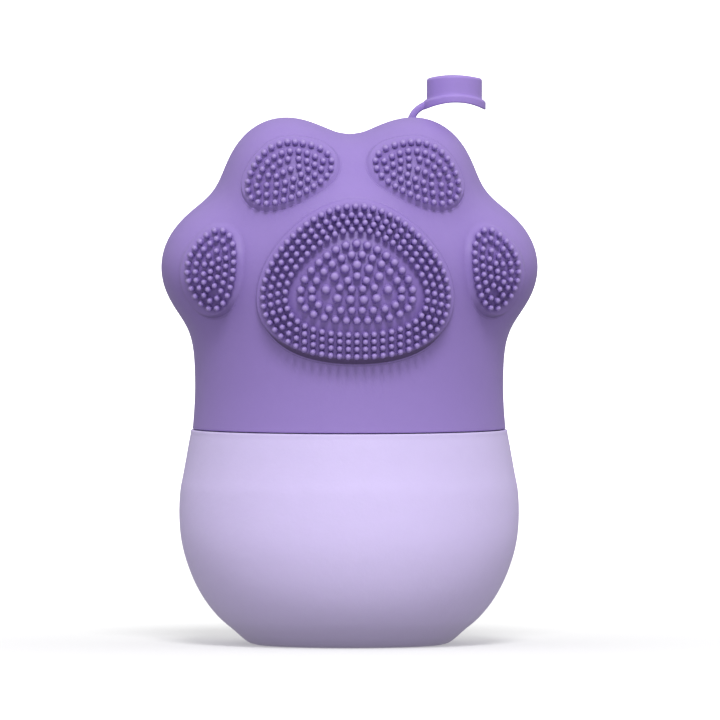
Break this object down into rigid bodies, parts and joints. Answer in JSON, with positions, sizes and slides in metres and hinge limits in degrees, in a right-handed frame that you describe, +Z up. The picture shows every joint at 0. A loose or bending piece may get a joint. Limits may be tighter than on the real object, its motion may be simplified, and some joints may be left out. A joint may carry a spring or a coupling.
{
  "type": "facial cleansing brush",
  "caption": "Paw-shaped silicone facial cleansing brush and ice roller: hollow bristled cover that turns and lifts off a round holder, with a tethered plug for its filler hole.",
  "frame": {"origin": "centre of the flat foot of the holder", "axes": "+Z up along the object, the bristled side faces -Y, +X towards the side the open plug hangs on"},
  "size_m": [0.079, 0.0734, 0.1194],
  "materials": {
    "paw_silicone": "satin matte moulded silicone",
    "pad_silicone": "satin matte moulded silicone",
    "bristle_silicone": "satin moulded silicone",
    "holder_silicone": "satin matte moulded silicone with a fine grain",
    "collar_plastic": "satin",
    "seal_silicone": "satin"
  },
  "bodies": {
    "base": {"base_shell": "holder_silicone", "rim_collar": "collar_plastic"},
    "seal": {"collar_seal": "seal_silicone"},
    "cover": {"paw_cover": "paw_silicone", "palm_pad": "pad_silicone", "toe_pad_top_left": "pad_silicone", "toe_pad_top_right": "pad_silicone", "toe_pad_side_left": "pad_silicone", "toe_pad_side_right": "pad_silicone", "palm_fine_bristles": "bristle_silicone", "palm_nubs": "bristle_silicone", "palm_large_nubs": "bristle_silicone", "toe_bristles_top_left": "bristle_silicone", "toe_bristles_top_right": "bristle_silicone", "toe_bristles_side_left": "bristle_silicone", "toe_bristles_side_right": "bristle_silicone"},
    "tether": {"plug_tether": "paw_silicone"},
    "plug": {"fill_plug": "paw_silicone"}
  },
  "joints": [
    {"name": "cover_turn", "type": "hinge", "parent": "base", "child": "seal", "pos_m": [0, 0, 0.0506], "axis": [0, 0, 1], "continuous": true},
    {"name": "cover_lift", "type": "slide", "parent": "seal", "child": "cover", "axis": [0, 0, 1], "range_m": [0, 0.06]},
    {"name": "plug_swing", "type": "hinge", "parent": "cover", "child": "tether", "pos_m": [0.01116, 0.00404, 0.11332], "axis": [0, -0.9966, 0.0828], "range_deg": [-10, 180], "stiffness_Nm_per_rad": 0.0035, "springref_deg": 1.43},
    {"name": "plug_press", "type": "slide", "parent": "tether", "child": "plug", "axis": [0, 0, 1], "range_m": [0, 0.0048]}
  ]
}
